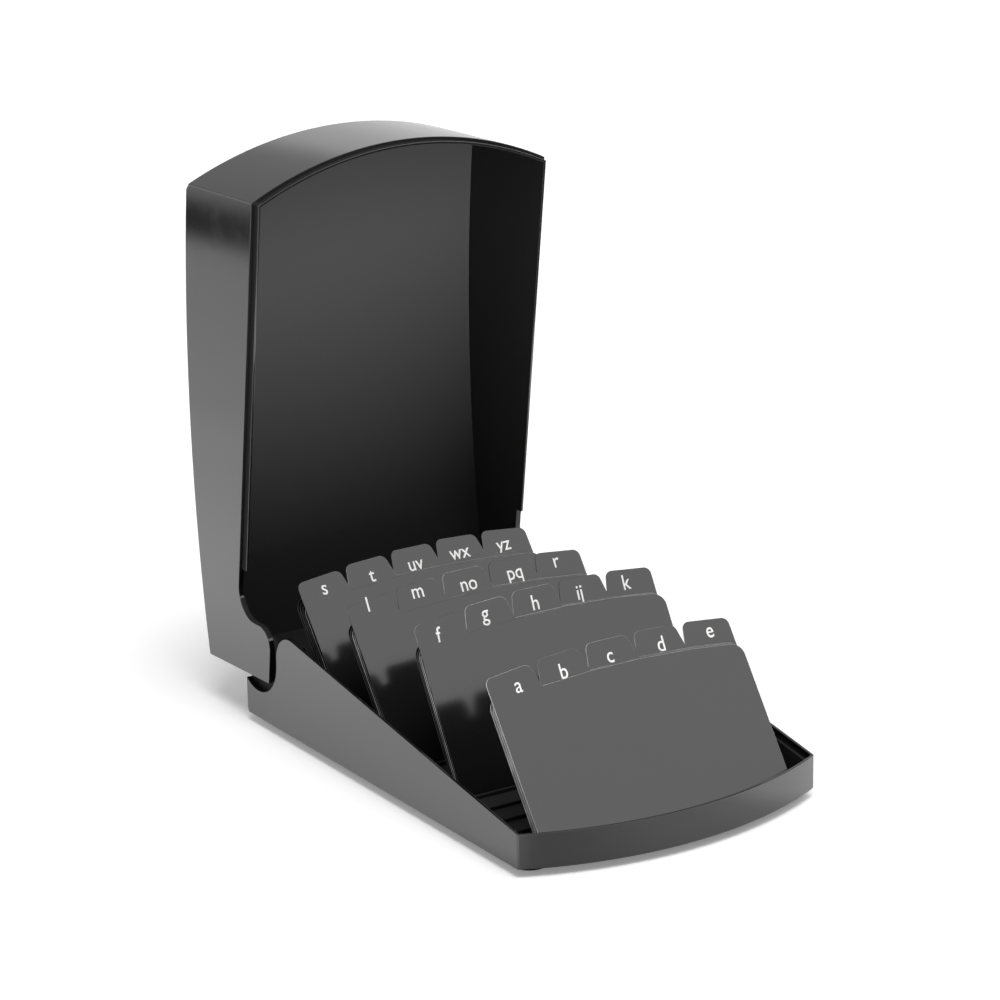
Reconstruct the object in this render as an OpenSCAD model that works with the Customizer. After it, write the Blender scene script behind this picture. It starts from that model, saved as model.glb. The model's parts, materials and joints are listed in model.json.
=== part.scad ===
// Covered card index box: a wedge tray on rubber feet, a cover hinged at the
// rear, and twenty tabbed index dividers that stand in four leaning groups.
// Millimetres, +Z up. The front of the box faces -Y. The box is shown open.
// Depths are worked out from the line through the tray's two front corners,
// heights from the tray's underside, and shift() then moves both to the
// origin, which is the middle of the footprint on the table.

/* [Case] */
// Width of the case
case_w = 131; // [120:1:145]
// Depth from the front corners to the rear face
case_d = 190.5; // [186:0.5:212]
// How far the front wall bows out beyond its corners
front_bow = 15.3; // [8:0.1:20]
// Height of the tray's rim along the front wall and at the front corners
front_h = 13.7; // [12:0.1:18]
// Slope of the side rims, front to rear, in degrees
rim_slope = 9.55; // [7:0.05:10.5]
// Height of the closed case at the top of the cover's crown
closed_h = 73.7; // [72:0.1:90]
// Radius of the cover's crown, seen from the side
crown_r = 680; // [600:10:1400]
// Depth at which the crown is highest
crown_y = 104; // [80:1:115]
// Thickness of the tray's and the cover's walls
wall = 2.4; // [2:0.1:2.8]
// Thickness of the tray's floor
floor_t = 2; // [1.6:0.1:3]
// Radius of the tray's lower rear edge
heel_r = 3; // [1:0.5:6]

/* [Rim] */
// Thickness of the tray's rim above its inner ledge
rim_t = 1.1; // [0.8:0.1:1.3]
// Depth of the inner ledge below the rim
ledge_h = 3; // [2.6:0.1:4]
// Height of the cover's lip below its shoulder
lip_h = 3.2; // [2.6:0.1:3.6]
// Gap between the closed cover's shoulder and the rim
rim_gap = 1.5; // [0.8:0.1:1.8]
// Gap between the cover's lip and the tray's rim
lip_gap = 0.3; // [0.25:0.05:0.5]
// Length of side rim near the hinge that has no lip
lip_end = 8; // [4:1:20]

/* [Hinge] */
// Distance of the hinge pins from the rear face
hinge_inset = 11.2; // [10.5:0.1:13]
// Height of the hinge pins
hinge_h = 27.2; // [25:0.1:30]
// Angle between the closed cover and the open one
open_angle = 92; // [88:1:98]
// Distance of the hinge pins from the upright face of the notch in the tray's side walls
notch_face = 12.5; // [12.2:0.1:13]
// Radius of the notch below that face
notch_r = 14.6; // [13.6:0.1:15]
// Distance of the notch's centre below the hinge pins
notch_drop = 0.8; // [0:0.1:1.5]
// Gap between that face and the cover's tail
notch_gap = 0.5; // [0.3:0.1:0.7]
// Radius of the hump where the rim turns down into the notch
hump_r = 10.5; // [6:0.5:12]
// Distance of the cover's rear face from the hinge pins
tail_back = 10.1; // [9.8:0.1:10.6]
// Distance of the cover's lower rear edge from the hinge pins
tail_low = 5.8; // [5:0.1:7]
// Radius of the closed cover's lower corner in the notch
tail_r = 8; // [7:0.5:9]
// Gap between the open cover and the tray's rear wall, its stop
stop_gap = 0.3; // [0.2:0.1:1]
// Thickness of the tray's hinge ears
ear_t = 3; // [2:0.1:4]
// Radius of the hinge ears round the pin
ear_r = 6.8; // [5:0.1:7]
// Gap between an ear and the cover beside it
ear_gap = 0.5; // [0.4:0.1:0.8]
// Diameter of a hinge pin
pin_d = 4; // [3:0.1:5]
// Diameter of a hinge pin's head
pin_head_d = 7; // [6:0.1:9]
// Thickness of a hinge pin's head
pin_head_t = 1.6; // [1:0.1:2.5]
// Depth of the blind bore that each pin turns in
pin_seat = 1.5; // [1.1:0.1:1.6]
// Running clearance of a pin in the cover, on the radius
pin_run = 0.06; // [0.04:0.01:0.1]
// Clearance of a pin in its ear, on the radius
pin_hold = 0.02; // [0.01:0.01:0.03]

/* [Feet] */
// Diameter of a rubber foot
foot_d = 15; // [10:0.5:18]
// Height of a foot below the tray
foot_h = 3; // [2:0.1:5]
// Depth of the recess that each foot sits in
foot_seat = 0.6; // [0.3:0.1:0.9]
// Clearance of a foot in its recess, on the radius
foot_gap = 0.2; // [0.1:0.05:0.3]
// Distance of a foot's axis from the side of the case
foot_side = 11; // [10.5:0.5:20]
// Distance of a front foot's axis from the front corners
foot_front = 9; // [6:0.5:20]
// Distance of a rear foot's axis from the rear face
foot_rear = 14; // [13:0.5:30]

/* [Dividers] */
// Width of a divider
div_w = 110; // [96:0.5:112]
// Height of a divider's body at its middle, along its slope
div_h = 60.4; // [46:0.1:62]
// How much lower a divider's crowned upper edge is at its ends
div_crown = 3.6; // [1:0.1:5]
// Thickness of a divider
div_t = 0.4; // [0.3:0.1:0.5]
// Radius of a divider's upper corners
div_r = 5; // [2:0.5:8]
// Radius of a divider's lower corners
div_low_r = 2; // [1:0.5:4]
// Height of a tab above the body
tab_h = 9.2; // [6:0.1:10]
// Radius of a tab's corners
tab_r = 3; // [1:0.1:3.4]
// How far a tab's inner side leans in between its foot and its corner
tab_draft = 1.5; // [0.5:0.1:3]
// Mean lean of the dividers from the vertical, in degrees
lean = 34; // [30:1:38]
// Gap between the floor and a divider's lower edge
div_gap = 0.3; // [0.2:0.1:0.6]
// Depth at which the first group stands
first_row = 1.5; // [1:0.5:6]
// Distance from the rearmost group's first divider to the rear face
last_row = 57; // [55:0.5:60]
// Height of the locating ribs
rib_h = 1.4; // [0.8:0.1:1.6]
// Thickness of the locating ribs
rib_t = 1.2; // [0.8:0.1:1.4]
// Gap between a rib and a divider that stands in the slot behind it
rib_gap = 1; // [0.8:0.1:1.2]

/* [Hidden] */
$fn = 96;
far = 400;
eps = 0.05;
hair = 0.005;
crown_fn = 720;

// For each group of dividers: its floor slot, the spacing of its dividers, how much
// more than the mean it leans, and the share of its side play that it has slid right
row_slot = [0, 5, 8, 11];
row_pitch = [0.9, 1.2, 1.5, 1.9];
row_tilt = [1, -5, 1.5, 4];
row_slide = [0.27, 0.77, 0.35, 0.47];
tabs_in_row = 5;

// Spacing of the locating ribs on the floor, from one slot to the next, and their number
rib_pitch = (case_d - first_row - last_row) / row_slot[3];
rib_back = rib_pitch - rib_t - rib_gap;
rib_n = floor((case_d - hinge_inset - notch_face - first_row - rib_back - rib_t) / rib_pitch) + 1;

LETTERS = [
    ["a", "b", "c", "d", "e"],
    ["f", "g", "h", "ij", "k"],
    ["l", "m", "no", "pq", "r"],
    ["s", "t", "uv", "wx", "yz"]
];

// Front wall: an arc through both front corners
bow_r = (case_w * case_w / 4 + front_bow * front_bow) / (2 * front_bow);
bow_y = bow_r - front_bow;

// Hinge line, and the upright face of the notch ahead of it
pin_y = case_d - hinge_inset;
face_y = pin_y - notch_face;

// The cover's tail in the notch: its round corner's centre, its rear corner, and
// the point where the line from there touches the round corner
tail_hub = [face_y + notch_gap + tail_r, hinge_h];
tail_tip = [pin_y + tail_back, hinge_h - tail_low];
tail_turn = atan2(tail_tip[1] - tail_hub[1], tail_tip[0] - tail_hub[0])
    - acos(tail_r / norm(tail_tip - tail_hub));
tail_touch = tail_hub + tail_r * [cos(tail_turn), sin(tail_turn)];

// Hump: an arc that touches the rim line and the notch's upright face
hump_y = face_y - hump_r;
hump_z = rim_z(hump_y) - hump_r / cos(rim_slope);

// The open cover's rear face lies over the tray's rear wall, its stop
rear_h = hinge_h - (tail_back - cos(open_angle) * hinge_inset) / sin(open_angle) - stop_gap;

// Faces of the hinge on the right-hand side
tail_x = case_w / 2 - wall;
ear_out = tail_x - ear_gap;
ear_in = ear_out - ear_t;

// Rearmost point of the open cover's crown, and the middle of the footprint
crown_back = pin_y + (crown_y - pin_y) * cos(open_angle)
    + (closed_h - crown_r - hinge_h) * sin(open_angle) + crown_r;
origin_y = (crown_back - front_bow) / 2;

// Crowned upper edge of a divider's body: straight from tab to tab along an arc, whose
// points are counted from the left end, and the slope of its last stretch
arch_r = (div_w * div_w / 4 + div_crown * div_crown) / (2 * div_crown);
function edge_x(i) = (i / tabs_in_row - 0.5) * div_w;
function edge_z(x) = div_h - arch_r + sqrt(arch_r * arch_r - x * x);
function edge_point(i) = [edge_x(i), edge_z(edge_x(i))];
end_slope = atan2(edge_point(1)[1] - edge_point(0)[1], edge_x(1) - edge_x(0));

// Height of the rim: level along the bowed front wall, then sloping up to the hump
function rim_z(y) = front_h + max(y, 0) * tan(rim_slope);

// The rim line from far ahead of the case to a depth, raised square to itself
function rim_line(raise, end_y) = [
    [-far, front_h + raise],
    [-raise * tan(rim_slope / 2), front_h + raise],
    [end_y, rim_z(end_y) + raise / cos(rim_slope)]
];

module shift() {
    translate([0, -origin_y, foot_h]) children();
}

// A side view, drawn as depth and height, made as wide as the case
module across(width) {
    rotate([90, 0, 90]) linear_extrude(height = width, center = true) children();
}

// Outline from above, with its walls moved in and its rear edge at a depth
module plan(inset, rear) {
    intersection() {
        translate([inset - case_w / 2, -front_bow]) square([case_w - 2 * inset, front_bow + rear - inset]);
        translate([0, bow_y]) circle(r = bow_r - inset, $fn = crown_fn);
    }
}

module plan_prism(inset, rear) {
    translate([0, 0, -far / 2]) linear_extrude(height = far) plan(inset, rear);
}

// Side view of all that lies below the rim and ahead of the notch
module below_rim(grow) {
    union() {
        polygon(concat(
            rim_line(grow, hump_y - (hump_r + grow) * sin(rim_slope)),
            [[face_y + grow, hump_z], [face_y + grow, -far], [-far, -far]]
        ));
        // a hair proud of both lines, so that they cross it and don't merely touch
        translate([hump_y, hump_z]) circle(r = hump_r + grow + hair);
    }
}

// Side view of all that lies above the rim line, raised square to itself, as far as a depth
module above_rim(raise, end_y) {
    polygon(concat(rim_line(raise, end_y), [[end_y, far], [-far, far]]));
}

module tray_side() {
    difference() {
        union() {
            intersection() {
                below_rim(0);
                translate([-far, 0]) square([2 * far, far]);
            }
            translate([face_y - eps, 0]) square([case_d - face_y + eps, hinge_h - notch_drop]);
        }
        // a hair behind the upright face, so that the two don't merely touch
        translate([face_y + 2 * eps + notch_r, hinge_h - notch_drop]) circle(r = notch_r);
        difference() {
            translate([case_d - heel_r, -eps]) square([heel_r + eps, heel_r + eps]);
            translate([case_d - heel_r, heel_r]) circle(r = heel_r);
        }
    }
}

// Side view of a hinge ear and the low strip behind it
module ear_side() {
    union() {
        translate([pin_y, hinge_h]) circle(r = ear_r);
        translate([pin_y - ear_r, floor_t - eps]) square([2 * ear_r, hinge_h - floor_t + eps]);
        translate([pin_y, floor_t - eps]) square([hinge_inset - wall + eps, rear_h - floor_t - stop_gap]);
    }
}

module ears() {
    root_h = hinge_h - notch_drop - notch_r - 2 * stop_gap;
    for (side = [-1, 1]) {
        translate([side * (ear_in + ear_out) / 2, 0, 0]) across(ear_t) ear_side();
        translate([side * (ear_in + tail_x + eps) / 2, 0, 0]) across(tail_x + eps - ear_in)
            intersection() {
                ear_side();
                square([far, root_h]);
            }
    }
}

module ribs() {
    for (i = [0:rib_n - 1])
        translate([-case_w / 2 + wall - eps, first_row + rib_back + i * rib_pitch, floor_t - eps])
            cube([case_w - 2 * wall + 2 * eps, rib_t, rib_h + eps]);
}

module at_feet() {
    for (side = [-1, 1])
        for (y = [foot_front, case_d - foot_rear])
            translate([side * (case_w / 2 - foot_side), y, 0]) children();
}

module tray() {
    color("#4a4a4c") shift() difference() {
        union() {
            difference() {
                intersection() {
                    union() {
                        across(case_w) tray_side();
                        // rear wall, which the open cover lies on
                        across(case_w - 2 * wall) translate([face_y, heel_r])
                            square([case_d - face_y, rear_h - heel_r]);
                    }
                    plan_prism(0, case_d);
                }
                intersection() {
                    plan_prism(wall, case_d);
                    translate([-far / 2, -far / 2, floor_t]) cube(far * 1.5);
                }
                intersection() {
                    plan_prism(rim_t, case_d);
                    across(case_w) above_rim(-ledge_h, hump_y - lip_end);
                }
            }
            ears();
            ribs();
        }
        translate([0, pin_y, hinge_h]) rotate([0, 90, 0])
            cylinder(h = 2 * tail_x - ear_gap, d = pin_d + 2 * pin_hold, center = true);
        at_feet() translate([0, 0, -eps]) cylinder(h = foot_seat + eps, d = foot_d + 2 * foot_gap);
    }
}

// Side view of the part of the cover that turns in the notch
module tail_side() {
    union() {
        translate(tail_hub) circle(r = tail_r);
        polygon([tail_hub + [0, eps], tail_touch, tail_tip, [tail_tip[0], hinge_h + eps]]);
    }
}

// Side view of the closed cover, solid
module cover_side() {
    difference() {
        intersection() {
            translate([crown_y, closed_h - crown_r]) circle(r = crown_r, $fn = crown_fn);
            translate([-front_bow, 0]) square([front_bow + pin_y + tail_back, far]);
        }
        translate([0, rim_gap - notch_gap]) below_rim(notch_gap);
        difference() {
            translate([face_y - eps, hinge_h - far]) square([far, far]);
            tail_side();
        }
    }
}

// The lip that drops inside the tray's rim
module lip() {
    lip_y = hump_y - lip_end - lip_gap;
    intersection() {
        difference() {
            plan_prism(rim_t + lip_gap, case_d);
            plan_prism(wall, case_d);
        }
        across(case_w) difference() {
            above_rim(rim_gap - lip_h, lip_y);
            above_rim(2 * rim_gap, lip_y + eps);
        }
    }
}

module closed_cover() {
    cover_rear = pin_y + tail_back;
    difference() {
        union() {
            difference() {
                intersection() {
                    across(case_w) cover_side();
                    plan_prism(0, cover_rear);
                }
                intersection() {
                    across(case_w) translate([crown_y, closed_h - crown_r])
                        circle(r = crown_r - wall, $fn = crown_fn);
                    plan_prism(wall, cover_rear);
                }
            }
            lip();
        }
        // windows in the rear wall that the tray's ears stand in
        for (side = [-1, 1])
            translate([side * (ear_in - ear_gap + tail_x) / 2, pin_y + far / 2, hinge_h - far / 2 + ear_r + 2 * ear_gap])
                cube([tail_x - ear_in + ear_gap, far, far], center = true);
        // blind bores that the hinge pins turn in
        for (side = [-1, 1])
            translate([side * (tail_x + pin_seat / 2 - eps), pin_y, hinge_h]) rotate([0, 90, 0])
                cylinder(h = pin_seat + 2 * eps, d = pin_d + 2 * pin_run, center = true);
    }
}

module cover() {
    color("#505052") shift()
        translate([0, pin_y, hinge_h]) rotate([-open_angle, 0, 0])
            translate([0, -pin_y, -hinge_h]) closed_cover();
}

module hinge_pin(side) {
    tip = tail_x + pin_seat - ear_gap / 2;
    color("#2c2c2e") shift()
        translate([0, pin_y, hinge_h]) rotate([0, side * 90, 0]) union() {
            translate([0, 0, ear_in - eps]) cylinder(h = tip - ear_in + eps, d = pin_d);
            translate([0, 0, ear_in - pin_head_t]) cylinder(h = pin_head_t, d = pin_head_d);
        }
}

module foot(side, y) {
    color("#1c1c1d") shift() translate([side * (case_w / 2 - foot_side), y, -foot_h])
        cylinder(h = foot_h + foot_seat, d = foot_d);
}

// A tab's round corner on its left (-1) or right (1) side: its centre
function tab_corner(place, side) =
    let (
        outer = place == (side < 0 ? 0 : tabs_in_row - 1),
        x = edge_x(place + (1 + side) / 2) - side * (tab_r + (outer ? 0 : tab_draft))
    ) [x, edge_z(x) + tab_h - tab_r];

// Where that corner meets the tab's side, which rises from the body's upper edge
function tab_touch(place, side) =
    let (
        foot = edge_point(place + (1 + side) / 2),
        reach = tab_corner(place, side) - foot,
        run = sqrt(reach * reach - tab_r * tab_r),
        angle = atan2(reach[1], -side * reach[0]) + atan2(tab_r, run)
    ) foot + run * [-side * cos(angle), sin(angle)];

// Where that corner meets the tab's upper edge
function tab_top(place, side) =
    let (across = tab_corner(place, 1) - tab_corner(place, -1))
    tab_corner(place, side) + tab_r * [-across[1], across[0]] / norm(across);

// A divider's tab, as the points of its sides and its upper edge from right to left
function tab_points(place) = [
    tab_touch(place, 1), tab_top(place, 1), tab_top(place, -1), tab_touch(place, -1)
];

// Outline of a divider, its lower edge on zero and its tab at a place from the left
module divider_outline(place) {
    end_x = div_w / 2 - div_r;
    end_z = div_h - div_crown - div_r * (1 - sin(end_slope)) / cos(end_slope);
    low_x = div_w / 2 - div_low_r;
    right = place == tabs_in_row - 1 ? [] : [
        [div_w / 2, end_z], [end_x + div_r * sin(end_slope), end_z + div_r * cos(end_slope)]
    ];
    left = place == 0 ? [] : [
        [-end_x - div_r * sin(end_slope), end_z + div_r * cos(end_slope)], [-div_w / 2, end_z]
    ];
    union() {
        polygon(concat(
            [[-low_x, 0], [low_x, 0], [div_w / 2, div_low_r]],
            right,
            [for (i = [tabs_in_row - 1:-1:place + 1]) edge_point(i)],
            tab_points(place),
            [for (i = [place:-1:1]) edge_point(i)],
            left,
            [[-div_w / 2, div_low_r]]
        ));
        for (side = [-1, 1]) {
            translate([side * low_x, div_low_r]) circle(r = div_low_r, $fn = 48);
            translate(tab_corner(place, side)) circle(r = tab_r, $fn = 48);
        }
        if (place > 0) translate([-end_x, end_z]) circle(r = div_r, $fn = 48);
        if (place < tabs_in_row - 1) translate([end_x, end_z]) circle(r = div_r, $fn = 48);
    }
}

module divider(row, place) {
    x = row_slide[row] * (case_w / 2 - wall - div_w / 2);
    y = first_row + row_slot[row] * rib_pitch + place * row_pitch[row];
    color("#6a6a6c") shift() translate([x, y, floor_t + div_gap + div_t / 2])
        rotate([90 - lean - row_tilt[row], 0, 0])
            linear_extrude(height = div_t, center = true) divider_outline(place);
}

tray();
cover();
hinge_pin(-1);  // hinge_pin_left
hinge_pin(1);  // hinge_pin_right
foot(-1, foot_front);  // foot_front_left
foot(1, foot_front);  // foot_front_right
foot(-1, case_d - foot_rear);  // foot_rear_left
foot(1, case_d - foot_rear);  // foot_rear_right
for (row = [0:len(LETTERS) - 1])
    for (place = [0:tabs_in_row - 1])
        divider(row, place);
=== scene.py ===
"""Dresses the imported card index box: its rounded mouldings, the punched and
lettered dividers, its rubber feet, their materials, and a small studio.

Run as a script by Blender 4.5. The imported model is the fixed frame: metres,
+Z up, the front of the box towards -Y, its cover open."""

import json
import math

import bmesh
import bpy
from bpy.props import FloatProperty, FloatVectorProperty, PointerProperty
from mathutils import Matrix, Quaternion, Vector


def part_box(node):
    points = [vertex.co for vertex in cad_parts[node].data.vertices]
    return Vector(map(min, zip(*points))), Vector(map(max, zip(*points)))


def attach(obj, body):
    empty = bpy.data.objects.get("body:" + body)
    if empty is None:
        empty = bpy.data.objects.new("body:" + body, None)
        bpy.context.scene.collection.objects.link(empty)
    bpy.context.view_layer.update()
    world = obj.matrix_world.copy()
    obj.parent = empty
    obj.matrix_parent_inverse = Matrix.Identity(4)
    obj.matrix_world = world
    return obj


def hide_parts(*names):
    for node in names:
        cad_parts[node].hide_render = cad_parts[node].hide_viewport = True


bl_info = {
    "name": "Card index box",
    "version": (1, 0, 0),
    "blender": (4, 5, 0),
    "location": "3D View > Sidebar > Card box",
    "description": "Mouldings, dividers, lettering, feet and studio of an open card index box",
    "category": "Object",
}

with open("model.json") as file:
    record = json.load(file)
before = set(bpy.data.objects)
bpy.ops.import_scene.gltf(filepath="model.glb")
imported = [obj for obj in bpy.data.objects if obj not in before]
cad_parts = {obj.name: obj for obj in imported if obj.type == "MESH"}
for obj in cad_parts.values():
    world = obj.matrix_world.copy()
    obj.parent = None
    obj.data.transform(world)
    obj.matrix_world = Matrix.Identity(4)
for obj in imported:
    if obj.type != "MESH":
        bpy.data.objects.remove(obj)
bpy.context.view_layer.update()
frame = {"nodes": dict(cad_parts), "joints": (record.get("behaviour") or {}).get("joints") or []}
JOINTS = {joint["child"]: joint for joint in frame["joints"]}
HINGE = Vector(JOINTS["cover"]["pos_m"])
OPEN_ANGLE = math.radians(JOINTS["cover"]["range_deg"][1] - JOINTS["cover"]["range_deg"][0])
TRAY_LOW, TRAY_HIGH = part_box("tray")
FEET = ("foot_front_left", "foot_front_right", "foot_rear_left", "foot_rear_right")
PINS = ("hinge_pin_left", "hinge_pin_right")

MM = 0.001
WELD = 1e-6  # points of a mesh that lie nearer than this are one
TOUCH = 1e-4  # a point this near to an outer face counts as on it
SPLINTER = 0.12 * MM  # edges shorter than this would stop a bevel short
FLAT = math.radians(0.3)  # neighbours that turn by less than this are one face
SHARP = math.radians(32)  # edges that turn by more than this are rounded
CREASE = math.radians(35)  # rounded or not, edges that still turn by this are shaded sharp

INSIDE = 2.2 * MM  # etched faces of the tray lie this far inside its sides
ABOVE = 1.5 * MM  # and this far above its underside
LIP_FACE = (2.5 * MM, 4.4 * MM)  # the least and greatest width of the faces round the lip
PIN_EDGE = 0.0002
FOOT_SIDES = 64
INK_FILM = 0.03 * MM
LETTER_WIDTH = 0.9  # of the typeface's own width

# The camera looks at this point, and the frame is shifted as the photograph's is
AIM = (0, -0.009757, 0.093)
SHIFT = (-0.0171, 0.0233)

# How bright the paper looks in the plastic, by how far in metres it lies to the left of the
# box's middle or, where that is more, behind it, where only a share of the distance counts.
# These are painted reflections: the dark stretches in front and far to the left are painted
# shade, and the bright rest is painted light, in the paper's colour for reflected rays alone.
PAINTED_REFLECTION_LEVELS = (
    (-0.6, 0.03), (-0.17, 0.03), (-0.12, 1.5), (-0.09, 1.45), (-0.065, 0.9), (-0.04, 0.8),
    (0.03, 0.52), (0.055, 1.22), (0.09, 1.22), (0.165, 1.42), (0.3, 1.2), (0.343, 1.05),
    (0.465, 0.95), (0.535, 0.93), (0.555, 0.08), (0.6, 0.08), (0.62, 0.75), (1.2, 0.75))
BEHIND_SHARE = 0.6
BEHIND_LIMIT = 0.5  # so that the painted dark patch at the left doesn't run on behind the box
PAPER_LIFT = 0.22  # light added to the paper for the camera alone, which makes it white
ROOM_LIGHT = 0.42  # how strongly the surroundings light the box

# Each group's labels from left to right, and in millimetres how far the
# lettering stands right of its tab's middle and above the sheet's lower edge.
GROUPS = (
    (("a", 1.3, 58.7), ("b", -0.2, 59.3), ("c", -0.7, 60.6), ("d", 0.5, 59.8),
     ("e", 1.3, 60.1)),
    (("f", -1.9, 58.2), ("g", -1.5, 61.7), ("h", -0.4, 60.8), ("ij", -1.5, 60.3),
     ("k", -1.6, 59.6)),
    (("l", -1.9, 62.5), ("m", -0.7, 62.9), ("no", 0.6, 60.8), ("pq", 0.8, 60.5),
     ("r", -0.9, 60.8)),
    (("s", -0.4, 59.6), ("t", 0.4, 59.7), ("uv", -0.5, 59.7), ("wx", -0.6, 59.7),
     ("yz", -1.2, 58.3)),
)


def linear(colour):
    """Linear values of an sRGB hex colour."""
    parts = [int(colour[i:i + 2], 16) / 255 for i in (0, 2, 4)]
    return [c / 12.92 if c <= 0.04045 else ((c + 0.055) / 1.055) ** 2.4 for c in parts]


class CaseSettings(bpy.types.PropertyGroup):
    colour: FloatVectorProperty(
        name="Plastic", description="Colour of the moulded tray and cover",
        subtype="COLOR", size=3, min=0, max=1, default=linear("0b0b0b"))
    lining: FloatVectorProperty(
        name="Etched faces", description="Colour of the matt faces inside the tray and cover",
        subtype="COLOR", size=3, min=0, max=1, default=linear("222222"))
    brow_radius: FloatProperty(
        name="Brow", description="Radius of the edge between the lid and its bowed front",
        subtype="DISTANCE", unit="LENGTH", min=0.0002, max=0.003, default=0.0024)
    corner_radius: FloatProperty(
        name="Front corner", description="Radius of the upright front corners",
        subtype="DISTANCE", unit="LENGTH", min=0.0002, max=0.002, default=0.0007)
    heel_radius: FloatProperty(
        name="Lower edge", description="Radius of the edge round the tray's underside",
        subtype="DISTANCE", unit="LENGTH", min=0.0002, max=0.002, default=0.0012)
    rim_radius: FloatProperty(
        name="Rim edge", description="Radius of the thin edges along the rims and the lip",
        subtype="DISTANCE", unit="LENGTH", min=0.00005, max=0.0004, default=0.0002)
    grain: FloatProperty(
        name="Grain", description="Depth of the mould's fine grain",
        subtype="DISTANCE", unit="LENGTH", min=0, max=0.00005, default=0.000006, precision=6)


class DividerSettings(bpy.types.PropertyGroup):
    colour: FloatVectorProperty(
        name="Sheet", description="Colour of the divider sheet",
        subtype="COLOR", size=3, min=0, max=1, default=linear("161616"))
    # The pale edge colour is a painted highlight along the punched edges, not the plastic's own
    # colour.
    edge_highlight: FloatVectorProperty(
        name="Punched edge", description="Colour of the stressed plastic along a punched edge",
        subtype="COLOR", size=3, min=0, max=1, default=linear("cdcdce"))
    ink: FloatVectorProperty(
        name="Ink", description="Colour of the printed lettering",
        subtype="COLOR", size=3, min=0, max=1, default=linear("fdfdfb"))
    letter_height: FloatProperty(
        name="Letter height", description="Height of a small letter without a riser",
        subtype="DISTANCE", unit="LENGTH", min=0.002, max=0.006, default=0.00378)
    edge_radius: FloatProperty(
        name="Sheet edge", description="Rounding of a punched edge",
        subtype="DISTANCE", unit="LENGTH", min=0.00002, max=0.00015, default=0.00008)


class FootSettings(bpy.types.PropertyGroup):
    colour: FloatVectorProperty(
        name="Rubber", description="Colour of the feet",
        subtype="COLOR", size=3, min=0, max=1, default=linear("141415"))
    edge_radius: FloatProperty(
        name="Foot edge", description="Radius of a foot's lower edge",
        subtype="DISTANCE", unit="LENGTH", min=0.0002, max=0.0025, default=0.0016)


class StudioSettings(bpy.types.PropertyGroup):
    azimuth: FloatProperty(
        name="Azimuth", description="Camera's angle round the box from straight ahead",
        subtype="ANGLE", unit="ROTATION", default=math.radians(-33.34))
    elevation: FloatProperty(
        name="Elevation", description="Camera's angle above the horizon",
        subtype="ANGLE", unit="ROTATION", default=math.radians(18.13))
    roll: FloatProperty(
        name="Roll", description="Camera's turn about its own axis",
        subtype="ANGLE", unit="ROTATION", default=math.radians(-0.77))
    distance: FloatProperty(
        name="Distance", description="Camera's distance from the middle of the box",
        subtype="DISTANCE", unit="LENGTH", min=0.5, max=5, default=1.40205)
    lens: FloatProperty(
        name="Lens", description="Focal length on a sensor 36 mm wide",
        subtype="DISTANCE_CAMERA", min=20, max=300, default=135.48)
    paper: FloatVectorProperty(
        name="Paper", description="Colour of the floor",
        subtype="COLOR", size=3, min=0, max=1, default=linear("f2f2f2"))


def add(tree, kind, links=None, values=None, **settings):
    """Adds a node, sets its settings and its sockets' values, and links sources to its inputs."""
    made = tree.nodes.new(kind)
    for name, value in settings.items():
        setattr(made, name, value)
    for socket, value in (values or {}).items():
        made.inputs[socket].default_value = value
    for socket, source in (links or {}).items():
        tree.links.new(source, made.inputs[socket])
    return made


def new_material(name):
    """An empty material, and its node tree."""
    material = bpy.data.materials.new(name)
    material.use_nodes = True
    material.node_tree.nodes.clear()
    return material, material.node_tree


def moulded_polystyrene():
    """High-impact polystyrene from a lightly sparked mould: near black and fairly glossy, so
    that it mirrors its surroundings softly, and the softness drifts a little where the melt
    flowed and hands have been."""
    if "Moulded high-impact polystyrene" in bpy.data.materials:
        return bpy.data.materials["Moulded high-impact polystyrene"]
    case = bpy.context.scene.card_case
    material, tree = new_material("Moulded high-impact polystyrene")
    place = add(tree, "ShaderNodeTexCoord").outputs["Object"]
    # flow marks about 60 mm long
    flow = add(tree, "ShaderNodeTexNoise", {"Vector": place},
               {"Scale": 1 / 0.06, "Detail": 2.0, "Roughness": 0.5, "Distortion": 0.4})
    # spark grain is about 0.1 mm, drawn at 0.5 mm so that it shows
    grain = add(tree, "ShaderNodeTexNoise", {"Vector": place},
                {"Scale": 1 / 0.0005, "Detail": 2.0, "Roughness": 0.6})
    # handling marks about 9 mm across, in patches
    marks = add(tree, "ShaderNodeTexNoise", {"Vector": place},
                {"Scale": 1 / 0.009, "Detail": 3.0, "Roughness": 0.65})
    sheen = add(tree, "ShaderNodeMapRange", {"Value": flow.outputs["Fac"]},
                {"From Min": 0.3, "From Max": 0.7, "To Min": 0.06, "To Max": 0.09})
    worn = add(tree, "ShaderNodeMapRange", {"Value": marks.outputs["Fac"]},
               {"From Min": 0.45, "From Max": 0.8, "To Min": 0.0, "To Max": 0.03},
               interpolation_type="SMOOTHSTEP")
    rough = add(tree, "ShaderNodeMath", {0: sheen.outputs["Result"], 1: worn.outputs["Result"]},
                operation="ADD")
    base = list(case.colour)
    tint = add(tree, "ShaderNodeMix", {0: grain.outputs["Fac"]},
               {6: [c * 0.8 for c in base] + [1], 7: [c * 1.25 for c in base] + [1]},
               data_type="RGBA")
    bump = add(tree, "ShaderNodeBump", {"Height": grain.outputs["Fac"]},
               {"Strength": 0.5, "Distance": case.grain})
    shader = add(tree, "ShaderNodeBsdfPrincipled",
                 {"Base Color": tint.outputs[2], "Roughness": rough.outputs["Value"],
                  "Normal": bump.outputs["Normal"]},
                 {"IOR": 1.59, "Specular IOR Level": 1.0})
    add(tree, "ShaderNodeOutputMaterial", {"Surface": shader.outputs["BSDF"]})
    return material


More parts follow.
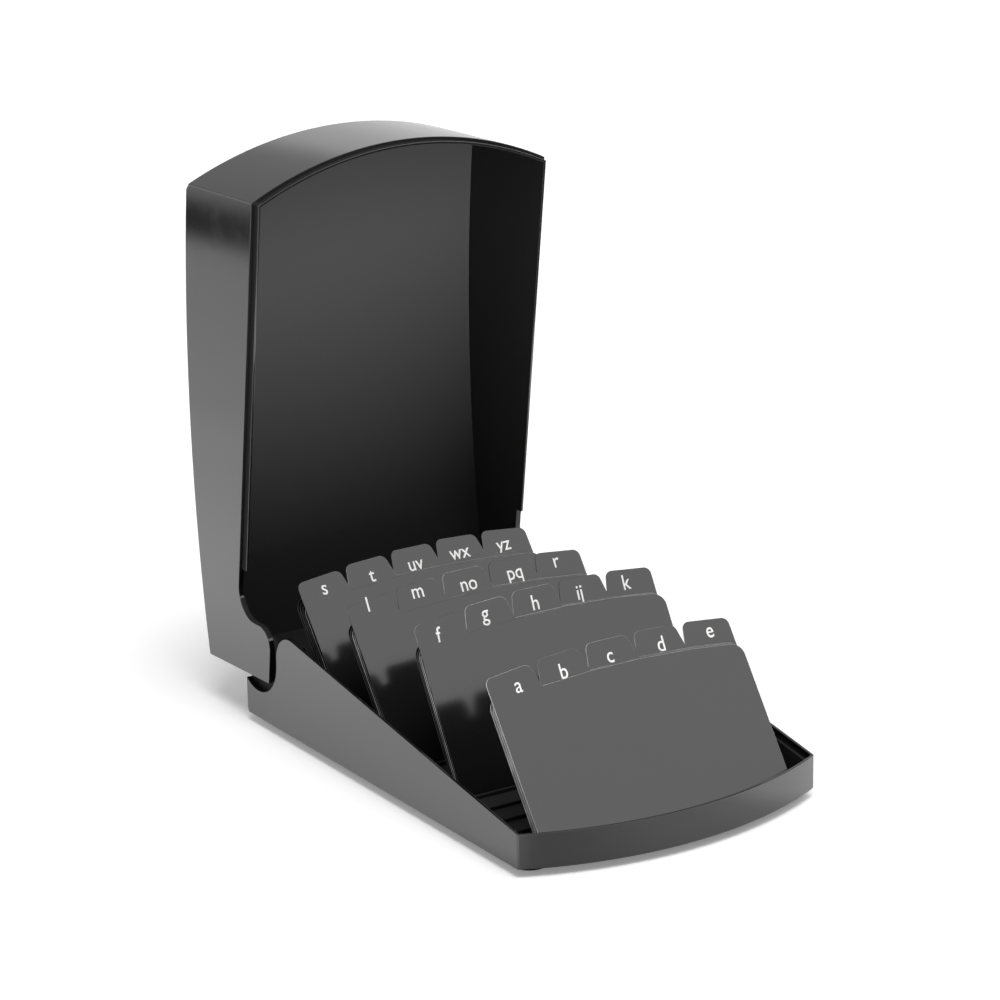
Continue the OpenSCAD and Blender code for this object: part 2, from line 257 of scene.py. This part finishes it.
def textured_polystyrene():
    """The same plastic where the mould is finely etched, inside the tray and the cover and
    round its lip: matt, so that the light from in front spreads evenly over it in dark grey."""
    if "Etched high-impact polystyrene" in bpy.data.materials:
        return bpy.data.materials["Etched high-impact polystyrene"]
    material, tree = new_material("Etched high-impact polystyrene")
    place = add(tree, "ShaderNodeTexCoord").outputs["Object"]
    # etched texture is about 0.15 mm, drawn at 0.6 mm so that it shows
    etch = add(tree, "ShaderNodeTexNoise", {"Vector": place},
               {"Scale": 1 / 0.0006, "Detail": 2.0, "Roughness": 0.6})
    base = list(bpy.context.scene.card_case.lining)
    tint = add(tree, "ShaderNodeMix", {0: etch.outputs["Fac"]},
               {6: [c * 0.9 for c in base] + [1], 7: [c * 1.1 for c in base] + [1]},
               data_type="RGBA")
    bump = add(tree, "ShaderNodeBump", {"Height": etch.outputs["Fac"]},
               {"Strength": 0.5, "Distance": 0.00001})
    shader = add(tree, "ShaderNodeBsdfPrincipled",
                 {"Base Color": tint.outputs[2], "Normal": bump.outputs["Normal"]},
                 {"IOR": 1.59, "Specular IOR Level": 0.1, "Roughness": 0.6})
    add(tree, "ShaderNodeOutputMaterial", {"Surface": shader.outputs["BSDF"]})
    return material


def calendered_polypropylene():
    """Polypropylene sheet rolled smooth: glossy and near black, so that it mirrors the light
    above it, and not quite flat, so that the mirrored edges are soft and wavy."""
    divider = bpy.context.scene.card_divider
    material, tree = new_material("Calendered polypropylene sheet")
    place = add(tree, "ShaderNodeTexCoord").outputs["Object"]
    # waves of the sheet about 35 mm long
    wave = add(tree, "ShaderNodeTexNoise", {"Vector": place},
               {"Scale": 1 / 0.035, "Detail": 1.0, "Roughness": 0.4})
    # orange peel of the rolls, about 1 mm
    peel = add(tree, "ShaderNodeTexNoise", {"Vector": place},
               {"Scale": 1 / 0.001, "Detail": 2.0, "Roughness": 0.5})
    rough = add(tree, "ShaderNodeMapRange", {"Value": wave.outputs["Fac"]},
                {"From Min": 0.3, "From Max": 0.7, "To Min": 0.12, "To Max": 0.16})
    base = list(divider.colour)
    tint = add(tree, "ShaderNodeMix", {0: peel.outputs["Fac"]},
               {6: [c * 0.85 for c in base] + [1], 7: [c * 1.15 for c in base] + [1]},
               data_type="RGBA")
    large = add(tree, "ShaderNodeBump", {"Height": wave.outputs["Fac"]},
                {"Strength": 0.6, "Distance": 0.0006})
    fine = add(tree, "ShaderNodeBump",
               {"Height": peel.outputs["Fac"], "Normal": large.outputs["Normal"]},
               {"Strength": 0.4, "Distance": 0.000006})
    shader = add(tree, "ShaderNodeBsdfPrincipled",
                 {"Base Color": tint.outputs[2], "Roughness": rough.outputs["Result"],
                  "Normal": fine.outputs["Normal"]},
                 {"IOR": 1.6, "Specular IOR Level": 0.95})
    add(tree, "ShaderNodeOutputMaterial", {"Surface": shader.outputs["BSDF"]})
    return material


def punched_edge():
    """The same sheet where a die has sheared it: dark, with a painted highlight, a pale broken
    line along some sheets' edges where they would catch the light."""
    divider = bpy.context.scene.card_divider
    material, tree = new_material("Punched polypropylene edge")
    place = add(tree, "ShaderNodeTexCoord").outputs["Object"]
    # painted highlight broken into stretches about 9 mm long, and brighter on some sheets than
    # others
    highlight_noise = add(tree, "ShaderNodeTexNoise", {"Vector": place},
                {"Scale": 1 / 0.009, "Detail": 2.0, "Roughness": 0.5})
    sheet_info = add(tree, "ShaderNodeObjectInfo")
    highlight_breaks = add(tree, "ShaderNodeMix", {2: highlight_noise.outputs["Fac"], 3: sheet_info.outputs["Random"]},
               {0: 0.55})
    # painted highlight: the pale colour stands for light caught by the rounded edge
    highlight_ramp = add(tree, "ShaderNodeValToRGB", {"Fac": highlight_breaks.outputs[0]})
    plain_edge, painted_highlight = highlight_ramp.color_ramp.elements
    plain_edge.position = 0.5
    plain_edge.color = [c * 0.06 for c in divider.edge_highlight] + [1]
    painted_highlight.position = 0.76
    painted_highlight.color = list(divider.edge_highlight) + [1]
    shader = add(tree, "ShaderNodeBsdfPrincipled", {"Base Color": highlight_ramp.outputs["Color"]},
                 {"IOR": 1.5, "Roughness": 0.45})
    add(tree, "ShaderNodeOutputMaterial", {"Surface": shader.outputs["BSDF"]})
    return material


def screen_ink():
    """White screen-printing ink: a thin, slightly uneven matt film on the sheet."""
    divider = bpy.context.scene.card_divider
    material, tree = new_material("White screen-printing ink")
    place = add(tree, "ShaderNodeTexCoord").outputs["Object"]
    # pinholes of the mesh about 0.3 mm apart
    mesh = add(tree, "ShaderNodeTexNoise", {"Vector": place},
               {"Scale": 1 / 0.0003, "Detail": 2.0, "Roughness": 0.6})
    film = add(tree, "ShaderNodeMix", {0: mesh.outputs["Fac"]},
               {6: [c * 0.94 for c in divider.ink] + [1], 7: list(divider.ink) + [1]},
               data_type="RGBA")
    shader = add(tree, "ShaderNodeBsdfPrincipled", {"Base Color": film.outputs[2]},
                 {"IOR": 1.48, "Roughness": 0.5})
    add(tree, "ShaderNodeOutputMaterial", {"Surface": shader.outputs["BSDF"]})
    return material


def moulded_rubber():
    """Compression-moulded rubber: black, dull, and dusty in its pores."""
    material, tree = new_material("Compression-moulded rubber")
    place = add(tree, "ShaderNodeTexCoord").outputs["Object"]
    # pores about 0.4 mm across
    pores = add(tree, "ShaderNodeTexNoise", {"Vector": place},
                {"Scale": 1 / 0.0004, "Detail": 3.0, "Roughness": 0.6})
    base = list(bpy.context.scene.card_foot.colour)
    dust = add(tree, "ShaderNodeMix", {0: pores.outputs["Fac"]},
               {6: base + [1], 7: [c * 1.8 for c in base] + [1]}, data_type="RGBA")
    bump = add(tree, "ShaderNodeBump", {"Height": pores.outputs["Fac"]},
               {"Strength": 0.6, "Distance": 0.00003})
    shader = add(tree, "ShaderNodeBsdfPrincipled",
                 {"Base Color": dust.outputs[2], "Normal": bump.outputs["Normal"]},
                 {"IOR": 1.52, "Roughness": 0.62})
    add(tree, "ShaderNodeOutputMaterial", {"Surface": shader.outputs["BSDF"]})
    return material


def moulded_acetal():
    """Moulded acetal: black, waxy and smooth, with faint turning marks from its mould."""
    material, tree = new_material("Moulded acetal")
    place = add(tree, "ShaderNodeTexCoord").outputs["Object"]
    # rings of the turned mould are 0.5 mm apart, drawn at 3 mm so that they show: bands at
    # scale 1 are pi / 10 apart
    rings = add(tree, "ShaderNodeTexWave", {"Vector": place},
                {"Scale": 1 / 0.01, "Distortion": 0.5},
                wave_type="BANDS", bands_direction="X")
    rough = add(tree, "ShaderNodeMapRange", {"Value": rings.outputs["Fac"]},
                {"To Min": 0.28, "To Max": 0.4})
    shader = add(tree, "ShaderNodeBsdfPrincipled", {"Roughness": rough.outputs["Result"]},
                 {"Base Color": linear("1a1a1b") + [1], "IOR": 1.48})
    add(tree, "ShaderNodeOutputMaterial", {"Surface": shader.outputs["BSDF"]})
    return material


def seamless_paper():
    """White seamless paper: matt, faintly fibrous, and lit through to white where the camera
    sees it bare. What the plastic mirrors of it is a painted reflection, brighter at the left and
    dimmer in front, painted into its colour for reflected rays alone."""
    material, tree = new_material("Seamless background paper")
    place = add(tree, "ShaderNodeTexCoord").outputs["Object"]
    # fibres about 1.5 mm long
    fibre = add(tree, "ShaderNodeTexNoise", {"Vector": place},
                {"Scale": 1 / 0.0015, "Detail": 3.0, "Roughness": 0.6})
    base = list(bpy.context.scene.card_studio.paper)
    sheet = add(tree, "ShaderNodeMix", {0: fibre.outputs["Fac"]},
                {6: [c * 0.98 for c in base] + [1], 7: base + [1]}, data_type="RGBA")
    path = add(tree, "ShaderNodeLightPath")
    aside = add(tree, "ShaderNodeVectorMath", {0: place}, {1: (-0.9, 0.2, 0)},
                operation="DOT_PRODUCT")
    first, last = PAINTED_REFLECTION_LEVELS[0][0], PAINTED_REFLECTION_LEVELS[-1][0]
    away = add(tree, "ShaderNodeSeparateXYZ", {"Vector": place})
    short = add(tree, "ShaderNodeMath", {0: away.outputs["Y"]}, {1: BEHIND_SHARE},
                operation="MULTIPLY")
    near = add(tree, "ShaderNodeMath", {0: away.outputs["Y"], 1: short.outputs["Value"]},
               operation="MINIMUM")
    even = add(tree, "ShaderNodeMath", {0: near.outputs["Value"]}, {1: BEHIND_LIMIT},
               operation="MINIMUM")
    side = add(tree, "ShaderNodeMath", {0: aside.outputs["Value"], 1: even.outputs["Value"]},
               operation="MAXIMUM")
    spot = add(tree, "ShaderNodeMapRange", {"Value": side.outputs["Value"]},
               {"From Min": first, "From Max": last})
    painted_reflection_ramp = add(tree, "ShaderNodeValToRGB", {"Fac": spot.outputs["Result"]})
    painted_reflection_ramp.color_ramp.interpolation = "EASE"
    stops = painted_reflection_ramp.color_ramp.elements
    for number, (distance, level) in enumerate(PAINTED_REFLECTION_LEVELS):
        position = (distance - first) / (last - first)
        stop = stops[number] if number < 2 else stops.new(position)
        stop.position = position
        stop.color = (level, level, level, 1)
    # painted reflection: reflected rays see the paper's colour scaled by the levels above
    share = add(tree, "ShaderNodeMix",
                {0: path.outputs["Is Glossy Ray"], 3: painted_reflection_ramp.outputs["Color"]}, {2: 1.0})
    lit = add(tree, "ShaderNodeVectorMath", {0: sheet.outputs[2], "Scale": share.outputs[0]},
              operation="SCALE")
    paper = add(tree, "ShaderNodeBsdfDiffuse", {"Color": lit.outputs["Vector"]})
    lift = add(tree, "ShaderNodeMath", {0: path.outputs["Is Camera Ray"]}, {1: PAPER_LIFT},
               operation="MULTIPLY")
    glow = add(tree, "ShaderNodeEmission", {"Strength": lift.outputs["Value"]})
    both = add(tree, "ShaderNodeAddShader",
               {0: paper.outputs["BSDF"], 1: glow.outputs["Emission"]})
    add(tree, "ShaderNodeOutputMaterial", {"Surface": both.outputs["Shader"]})
    return material


def merged_copy(node):
    """A copy of a CAD node whose loose triangles are joined into whole faces."""
    made = bmesh.new()
    made.from_mesh(frame["nodes"][node].data)
    bmesh.ops.remove_doubles(made, verts=made.verts, dist=WELD)
    bmesh.ops.dissolve_limit(made, angle_limit=FLAT, verts=made.verts, edges=made.edges)
    bmesh.ops.remove_doubles(made, verts=made.verts, dist=SPLINTER)
    return made


def round_edges(made, chosen, radius, segments=4):
    """Rounds those sharp outer edges that the test chosen(edge) picks."""
    edges = [e for e in made.edges
             if e.is_manifold and e.is_convex and e.calc_face_angle(0) > SHARP and chosen(e)]
    bmesh.ops.bevel(made, geom=edges, offset=radius, offset_type="OFFSET", affect="EDGES",
                    segments=segments, profile=0.5, material=-1, clamp_overlap=False)


def keep_piece(made, name, body, nodes, materials):
    """Turns a bmesh into a smooth-shaded piece that rides on a body and stands for CAD nodes."""
    for face in made.faces:
        face.smooth = True
    for edge in made.edges:
        edge.smooth = edge.calc_face_angle(0) < CREASE
    mesh = bpy.data.meshes.new(name)
    made.to_mesh(mesh)
    made.free()
    for material in materials:
        mesh.materials.append(material)
    piece = bpy.data.objects.new(name, mesh)
    bpy.context.scene.collection.objects.link(piece)
    even = piece.modifiers.new("Even shading", "WEIGHTED_NORMAL")
    even.keep_sharp = True
    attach(piece, body)
    if nodes:
        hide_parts(*nodes)
    return piece


def mark_etched(made, etched):
    """Gives the second material to the faces that the test etched(face) picks."""
    made.normal_update()
    for face in made.faces:
        face.material_index = etched(face)


def turns_corner(edge):
    """Whether the outside changes its heading across an edge, as it does at a front corner."""
    first, second = (f.normal.xy for f in edge.link_faces)
    return min(first.length, second.length) > 0.1 and first.angle(second) > CREASE


class CARD_OT_tray(bpy.types.Operator):
    """Makes the wedge tray with rounded outer edges"""
    bl_idname = "card_box.tray"
    bl_label = "Tray"

    def execute(self, context):
        case = context.scene.card_case
        made = merged_copy("tray")
        side, rear = TRAY_HIGH.x - TOUCH, TRAY_HIGH.y - TOUCH
        corner_y = min(v.co.y for v in made.verts if abs(v.co.x) > side)

        def on_outline(edge):
            return all(abs(v.co.x) > side or v.co.y < corner_y + TOUCH or v.co.y > rear
                       for v in edge.verts)

        def under(edge):
            low = [f.normal.z < -0.9 for f in edge.link_faces]
            return any(low) and not all(low) and on_outline(edge)

        def front_corner(edge):
            reach = case.heel_radius * 1.1
            return turns_corner(edge) and all(
                abs(v.co.x) > side - reach and v.co.y < corner_y + reach for v in edge.verts)

        round_edges(made, under, case.heel_radius)
        round_edges(made, front_corner, case.corner_radius)
        round_edges(made, lambda e: True, case.rim_radius, 2)

        def etched(face):
            middle = face.calc_center_median()
            front = (face.normal.y < -0.5 or face.normal.z > 0.9) and middle.y < corner_y
            back = face.normal.y > 0.5 and middle.y > rear - MM
            return (abs(middle.x) < side - INSIDE and middle.z > TRAY_LOW.z + ABOVE
                    and not front and not back)

        mark_etched(made, etched)
        keep_piece(made, "Moulded_tray", "base", ["tray"],
                   [moulded_polystyrene(), textured_polystyrene()])
        return {"FINISHED"}


class CARD_OT_cover(bpy.types.Operator):
    """Makes the deep hinged cover with a rounded crown"""
    bl_idname = "card_box.cover"
    bl_label = "Cover"

    def execute(self, context):
        case = context.scene.card_case
        made = merged_copy("cover")
        turn = (Matrix.Translation(HINGE) @ Matrix.Rotation(OPEN_ANGLE, 4, "X")
                @ Matrix.Translation(-HINGE))
        made.transform(turn)
        made.normal_update()
        side = max(v.co.x for v in made.verts) - TOUCH
        corner_y = min(v.co.y for v in made.verts if abs(v.co.x) > side)

        def crown(edge):
            top = [f.normal.z > 0.85 for f in edge.link_faces]
            return (any(top) and not all(top)
                    and all(v.co.z > HINGE.z + case.brow_radius for v in edge.verts))

        def brow(edge):
            return crown(edge) and any(f.normal.y < -0.8 for f in edge.link_faces)

        def front_corner(edge):
            return sum(abs(f.normal.x) > 0.95 for f in edge.link_faces) == 1 and all(
                abs(v.co.x) > side and v.co.y < corner_y + 2 * case.brow_radius
                for v in edge.verts)

        round_edges(made, brow, case.brow_radius)
        round_edges(made, lambda e: crown(e) or front_corner(e), case.corner_radius)
        round_edges(made, lambda e: True, case.rim_radius, 2)
        # the middle of the closed box's inside, which the etched faces of the cavity look at
        cavity = Vector((0, HINGE.y / 4, HINGE.z * 1.8))

        def etched(face):
            if face.normal.dot(face.calc_center_median() - cavity) < 0:
                return True
            longest = max(face.edges, key=lambda e: e.calc_length())
            length = longest.calc_length()
            rise = abs(longest.verts[0].co.z - longest.verts[1].co.z)
            return (abs(face.normal.z) < 0.35 and rise < length / 2
                    and LIP_FACE[0] < face.calc_area() / length < LIP_FACE[1])

        mark_etched(made, etched)
        made.transform(turn.inverted())
        keep_piece(made, "Moulded_cover", "cover", ["cover"],
                   [moulded_polystyrene(), textured_polystyrene()])
        return {"FINISHED"}


class CARD_OT_hinge_pins(bpy.types.Operator):
    """Makes the two headed hinge pins"""
    bl_idname = "card_box.hinge_pins"
    bl_label = "Hinge pins"

    def execute(self, context):
        acetal = moulded_acetal()
        for node in PINS:
            made = merged_copy(node)
            round_edges(made, lambda e: True, PIN_EDGE, 2)
            keep_piece(made, node.replace("hinge_pin", "Acetal_pin"), "base", [node],
                       [acetal])
        return {"FINISHED"}


class CARD_OT_feet(bpy.types.Operator):
    """Turns the four rubber feet"""
    bl_idname = "card_box.feet"
    bl_label = "Rubber feet"

    def execute(self, context):
        rubber = moulded_rubber()
        edge = context.scene.card_foot.edge_radius
        for node in FEET:
            low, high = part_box(node)
            middle = (low + high) / 2
            radius = (high.x - low.x) / 2
            made = bmesh.new()
            bmesh.ops.create_cone(made, cap_ends=True, segments=FOOT_SIDES, radius1=radius,
                                  radius2=radius, depth=high.z - low.z,
                                  matrix=Matrix.Translation(middle))
            sole = [e for e in made.edges if all(v.co.z < middle.z for v in e.verts)]
            bmesh.ops.bevel(made, geom=sole, offset=edge, offset_type="OFFSET", affect="EDGES",
                            segments=5, profile=0.5, material=-1, clamp_overlap=True)
            keep_piece(made, node.replace("foot", "Rubber_foot"), "base", [node], [rubber])
        return {"FINISHED"}


def sheet_face(node):
    """The way that a leaning divider's printed side faces."""
    made = merged_copy(node)
    widest = max((f for f in made.faces if f.normal.y < 0), key=lambda f: f.calc_area())
    front = widest.normal.copy()
    made.free()
    return front


class CARD_OT_dividers(bpy.types.Operator):
    """Makes the twenty punched dividers"""
    bl_idname = "card_box.dividers"
    bl_label = "Dividers"

    def execute(self, context):
        edge_radius = context.scene.card_divider.edge_radius
        finishes = [calendered_polypropylene(), punched_edge()]
        for label in [row[0] for group in GROUPS for row in group]:
            node = "divider_" + label
            front = sheet_face(node)
            made = merged_copy(node)

            def flat(face):
                return abs(face.normal.dot(front)) > 0.9

            round_edges(made, lambda e: sum(flat(f) for f in e.link_faces) == 1, edge_radius, 1)
            for face in made.faces:
                face.material_index = 0 if flat(face) else 1
            keep_piece(made, "Sheet_" + label, node, [node], finishes)
        return {"FINISHED"}


def letter_mesh(text, thickness):
    """Lettering in the built-in typeface as a thin closed film, in units of its type size."""
    curve = bpy.data.curves.new("lettering", "FONT")
    curve.body = text
    curve.align_x = "CENTER"
    curve.offset = 0.005
    curve.extrude = thickness / 2
    curve.shear = 0.08
    curve.resolution_u = 5
    holder = bpy.data.objects.new("lettering", curve)
    bpy.context.scene.collection.objects.link(holder)
    bpy.context.view_layer.update()
    mesh = bpy.data.meshes.new_from_object(holder)
    bpy.data.objects.remove(holder)
    bpy.data.curves.remove(curve)
    return mesh


class CARD_OT_lettering(bpy.types.Operator):
    """Prints the index letters on the tabs"""
    bl_idname = "card_box.lettering"
    bl_label = "Lettering"

    def execute(self, context):
        ink = screen_ink()
        small = letter_mesh("x", 0)
        size = context.scene.card_divider.letter_height / max(v.co.y for v in small.vertices)
        bpy.data.meshes.remove(small)
        for group in GROUPS:
            for place, (label, right, above) in enumerate(group):
                node = "divider_" + label
                front = sheet_face(node)
                up = Vector((0, front.z, -front.y))
                low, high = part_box(node)
                tab = (high.x - low.x) / len(group)
                foot = Vector(JOINTS[node]["pos_m"])
                foot.x = low.x + tab * (place + 0.5)
                proud = max((v.co - foot).dot(front) for v in frame["nodes"][node].data.vertices)
                # the film stands on the sheet, a tenth of its thickness sunk in
                origin = (foot + Vector((right * MM, 0, 0)) + up * above * MM
                          + front * (proud + INK_FILM * 0.4))
                across = Vector((LETTER_WIDTH, 0, 0))
                axes = Matrix((across, up, front)).transposed().to_4x4()
                mesh = letter_mesh(label, INK_FILM / size)
                mesh.transform(Matrix.Translation(origin) @ axes @ Matrix.Scale(size, 4))
                mesh.materials.clear()
                mesh.materials.append(ink)
                piece = bpy.data.objects.new("Letters_" + label, mesh)
                context.scene.collection.objects.link(piece)
                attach(piece, node)
        return {"FINISHED"}


def soft_sun(name, azimuth, elevation, spread, level):
    """A wide sun that alone would light a level floor to the given share of plain white."""
    light = bpy.data.lights.new(name, "SUN")
    light.angle = math.radians(spread)
    light.energy = level * math.pi / math.sin(math.radians(elevation))
    lamp = bpy.data.objects.new(name, light)
    lamp.visible_glossy = False
    a, e = math.radians(azimuth), math.radians(elevation)
    back = Vector((math.sin(a) * math.cos(e), -math.cos(a) * math.cos(e), math.sin(e)))
    lamp.location = back * 2
    lamp.rotation_mode = "QUATERNION"
    lamp.rotation_quaternion = (-back).to_track_quat("-Z", "Y")
    bpy.context.scene.collection.objects.link(lamp)
    return lamp


def snoot(name, spot, target, width, level):
    """A lamp narrowed to a soft, wide pool of light at its target, which it lights like so
    many suns of strength one."""
    light = bpy.data.lights.new(name, "SPOT")
    way = Vector(target) - Vector(spot)
    light.spot_size = 2 * math.atan(width / 2 / way.length)
    light.spot_blend = 0.67
    light.shadow_soft_size = 0.06
    light.energy = level * 4 * math.pi * math.pi * way.length_squared
    lamp = bpy.data.objects.new(name, light)
    lamp.visible_glossy = False
    lamp.location = spot
    lamp.rotation_mode = "QUATERNION"
    tilt = Quaternion((0, 0, 1), math.radians(6))
    lamp.rotation_quaternion = way.to_track_quat("-Z", "Y") @ tilt
    lamp.scale = (3, 1, 1)
    bpy.context.scene.collection.objects.link(lamp)
    return lamp


class CARD_OT_studio(bpy.types.Operator):
    """Lays the paper floor and sets the camera, the lights and the white surroundings"""
    bl_idname = "card_box.studio"
    bl_label = "Studio"

    def execute(self, context):
        scene = context.scene
        studio = scene.card_studio

        made = bmesh.new()
        bmesh.ops.create_grid(made, x_segments=1, y_segments=1, size=8)
        mesh = bpy.data.meshes.new("Paper_floor")
        made.to_mesh(mesh)
        made.free()
        mesh.materials.append(seamless_paper())
        floor = bpy.data.objects.new("Paper_floor", mesh)
        scene.collection.objects.link(floor)

        world = bpy.data.worlds.new("White studio")
        world.use_nodes = True
        tree = world.node_tree
        tree.nodes.clear()
        path = add(tree, "ShaderNodeLightPath")
        # what gloss mirrors: even in front, and behind the box a backdrop that is bright
        # near the floor and dimmer above
        way = add(tree, "ShaderNodeSeparateXYZ",
                  {"Vector": add(tree, "ShaderNodeTexCoord").outputs["Generated"]})
        low = add(tree, "ShaderNodeMapRange", {"Value": way.outputs["Z"]},
                  {"From Min": 0.38, "From Max": 0.28}, interpolation_type="SMOOTHSTEP")
        behind = add(tree, "ShaderNodeMapRange", {"Value": way.outputs["Y"]},
                     {"From Min": 0.0, "From Max": 0.4}, interpolation_type="SMOOTHSTEP")
        backdrop = add(tree, "ShaderNodeMapRange", {"Value": low.outputs["Result"]},
                       {"To Min": 0.5, "To Max": 0.92})
        mirrored = add(tree, "ShaderNodeMix",
                       {0: behind.outputs["Result"], 3: backdrop.outputs["Result"]}, {2: 1.1})
        seen = add(tree, "ShaderNodeMath",
                   {0: path.outputs["Is Camera Ray"], 1: path.outputs["Is Transmission Ray"]},
                   operation="MAXIMUM")
        plain = add(tree, "ShaderNodeMapRange", {"Value": seen.outputs["Value"]},
                    {"To Min": ROOM_LIGHT, "To Max": 1.0})
        level = add(tree, "ShaderNodeMix", {0: path.outputs["Is Glossy Ray"],
                                            2: plain.outputs["Result"], 3: mirrored.outputs[0]})
        white = add(tree, "ShaderNodeBackground", {"Strength": level.outputs[0]},
                    {"Color": (1, 1, 1, 1)})
        add(tree, "ShaderNodeOutputWorld", {"Surface": white.outputs["Background"]})
        scene.world = world

        soft_sun("Key", azimuth=-20, elevation=72, spread=30, level=0.5)
        soft_sun("Fill", azimuth=35, elevation=65, spread=50, level=0.15)
        # on the upper part of the open cover's inside
        snoot("Snoot", spot=(0, -1.2, 0.2), target=(0, 0.09, 0.172), width=0.14, level=4.3)

        a, e = studio.azimuth, studio.elevation
        back = Vector((math.sin(a) * math.cos(e), -math.cos(a) * math.cos(e), math.sin(e)))
        across = Vector((0, 0, 1)).cross(back).normalized()
        above = back.cross(across)
        turned = across * math.cos(studio.roll) + above * math.sin(studio.roll)
        axes = Matrix((turned, back.cross(turned), back)).transposed().to_4x4()
        sight = bpy.data.cameras.new("Camera")
        sight.sensor_width = 36
        sight.lens = studio.lens
        sight.shift_x, sight.shift_y = SHIFT
        sight.clip_start = 0.01
        sight.clip_end = 50
        camera = bpy.data.objects.new("Camera", sight)
        camera.matrix_world = Matrix.Translation(Vector(AIM) + back * studio.distance) @ axes
        scene.collection.objects.link(camera)
        scene.camera = camera
        scene.view_settings.view_transform = "Standard"
        return {"FINISHED"}


class CARD_PT_box(bpy.types.Panel):
    """Lists the steps that dress the card index box"""
    bl_idname = "CARD_PT_box"
    bl_label = "Card index box"
    bl_space_type = "VIEW_3D"
    bl_region_type = "UI"
    bl_category = "Card box"

    def draw(self, context):
        for group in (context.scene.card_case, context.scene.card_divider,
                      context.scene.card_foot, context.scene.card_studio):
            for name in group.bl_rna.properties.keys():
                if name not in ("rna_type", "name"):
                    self.layout.prop(group, name)
        for step in STEPS:
            self.layout.operator(step.bl_idname)


SETTINGS = {"card_case": CaseSettings, "card_divider": DividerSettings,
            "card_foot": FootSettings, "card_studio": StudioSettings}
STEPS = (CARD_OT_studio, CARD_OT_tray, CARD_OT_cover, CARD_OT_hinge_pins, CARD_OT_feet,
         CARD_OT_dividers, CARD_OT_lettering)


def register():
    for made in (*SETTINGS.values(), *STEPS, CARD_PT_box):
        bpy.utils.register_class(made)
    for name, made in SETTINGS.items():
        setattr(bpy.types.Scene, name, PointerProperty(type=made))


def unregister():
    for name in SETTINGS:
        delattr(bpy.types.Scene, name)
    for made in (CARD_PT_box, *reversed(STEPS), *SETTINGS.values()):
        bpy.utils.unregister_class(made)


def main():
    register()
    bpy.ops.card_box.studio()
    bpy.ops.card_box.tray()
    bpy.ops.card_box.cover()
    bpy.ops.card_box.hinge_pins()
    bpy.ops.card_box.feet()
    bpy.ops.card_box.dividers()
    bpy.ops.card_box.lettering()


if __name__ == "__main__":
    main()
